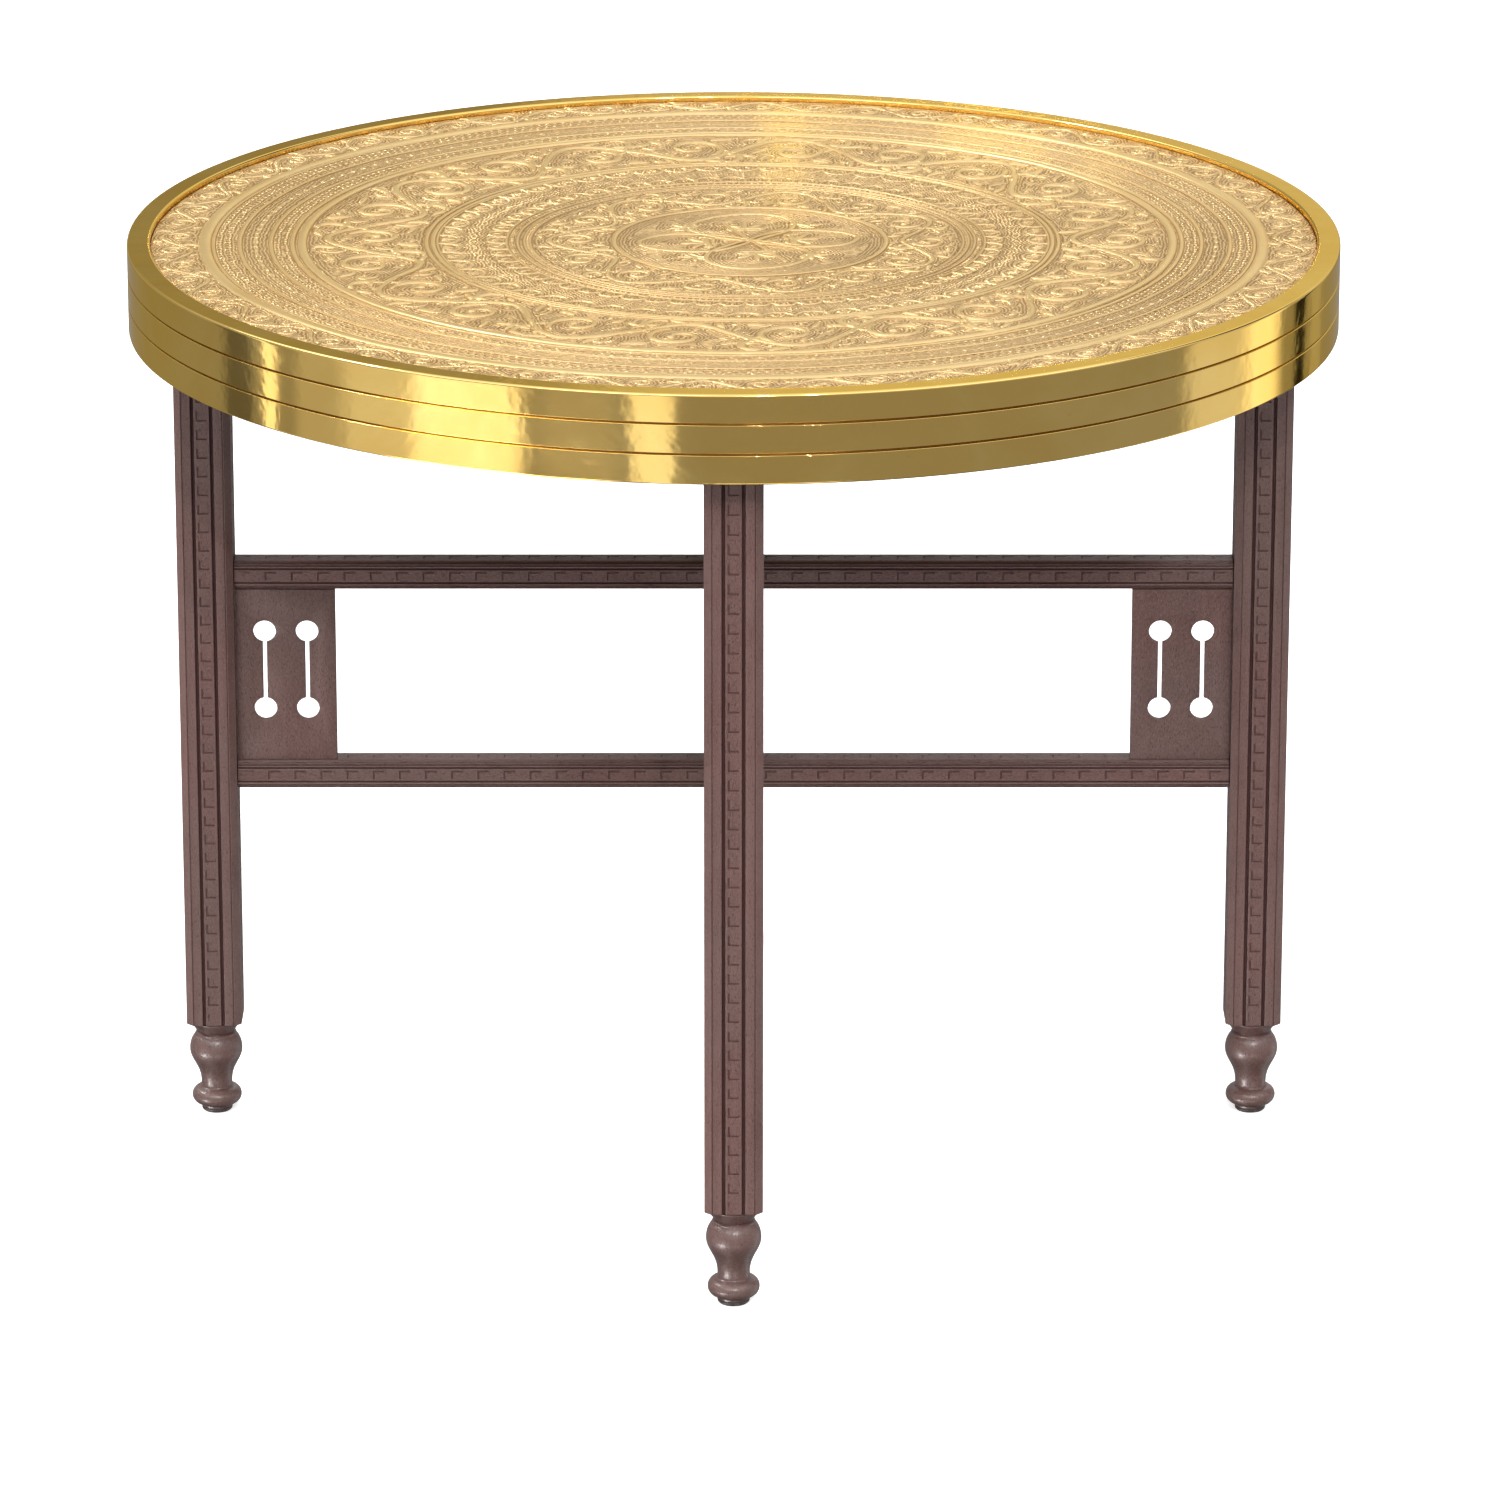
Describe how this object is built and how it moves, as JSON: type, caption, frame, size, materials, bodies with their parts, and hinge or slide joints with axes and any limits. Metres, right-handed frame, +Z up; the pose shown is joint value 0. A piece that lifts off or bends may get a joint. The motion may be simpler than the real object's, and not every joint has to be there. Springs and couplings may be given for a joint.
{
  "type": "brass tray table",
  "caption": "Low round table: a recessed embossed brass tray with a tall banded rim on a folding wooden stand of crossed frames with turned feet.",
  "frame": {"origin": "on the floor, under the centre of the tray", "axes": "+Z up; -Y towards the front leg; +X towards the right leg. The left-right frame lies along X and the front-back frame along Y."},
  "size_m": [0.6, 0.6, 0.463],
  "materials": {
    "stained_wood": "dark purplish-brown stain, satin",
    "turned_wood": "dark purplish-brown stain, polished",
    "glide_plastic": "moulded, brown",
    "felt": "pressed felt",
    "plated_steel": "zinc plated",
    "polished_brass": "polished",
    "embossed_brass": "embossed, satin",
    "plywood": "bare"
  },
  "bodies": {
    "side_frame": {"left_post": "stained_wood", "left_foot": "turned_wood", "left_glide": "glide_plastic", "left_top_pad": "felt", "left_panel": "stained_wood", "right_post": "stained_wood", "right_foot": "turned_wood", "right_glide": "glide_plastic", "right_top_pad": "felt", "right_panel": "stained_wood", "side_frame_upper_rail": "stained_wood", "side_frame_lower_rail": "stained_wood", "upper_pivot_bolt": "plated_steel", "upper_head_washer": "plated_steel", "upper_spacer_washer": "plated_steel", "upper_nut_washer": "plated_steel", "upper_dome_nut": "plated_steel", "lower_pivot_bolt": "plated_steel", "lower_head_washer": "plated_steel", "lower_spacer_washer": "plated_steel", "lower_nut_washer": "plated_steel", "lower_dome_nut": "plated_steel"},
    "front_frame": {"front_post": "stained_wood", "front_foot": "turned_wood", "front_glide": "glide_plastic", "front_top_pad": "felt", "front_panel": "stained_wood", "back_post": "stained_wood", "back_foot": "turned_wood", "back_glide": "glide_plastic", "back_top_pad": "felt", "back_panel": "stained_wood", "front_frame_upper_rail": "stained_wood", "front_frame_lower_rail": "stained_wood"},
    "tray": {"tray_rim_band": "polished_brass", "tray_embossed_sheet": "embossed_brass", "tray_core_board": "plywood", "tray_hoop": "stained_wood"}
  },
  "joints": [
    {"name": "stand_fold", "type": "hinge", "parent": "side_frame", "child": "front_frame", "pos_m": [0, 0, 0.24], "axis": [0, 0, 1], "range_deg": [-83, 83]},
    {"name": "tray_lift", "type": "slide", "parent": "side_frame", "child": "tray", "axis": [0, 0, 1], "range_m": [0, 0.06]}
  ]
}
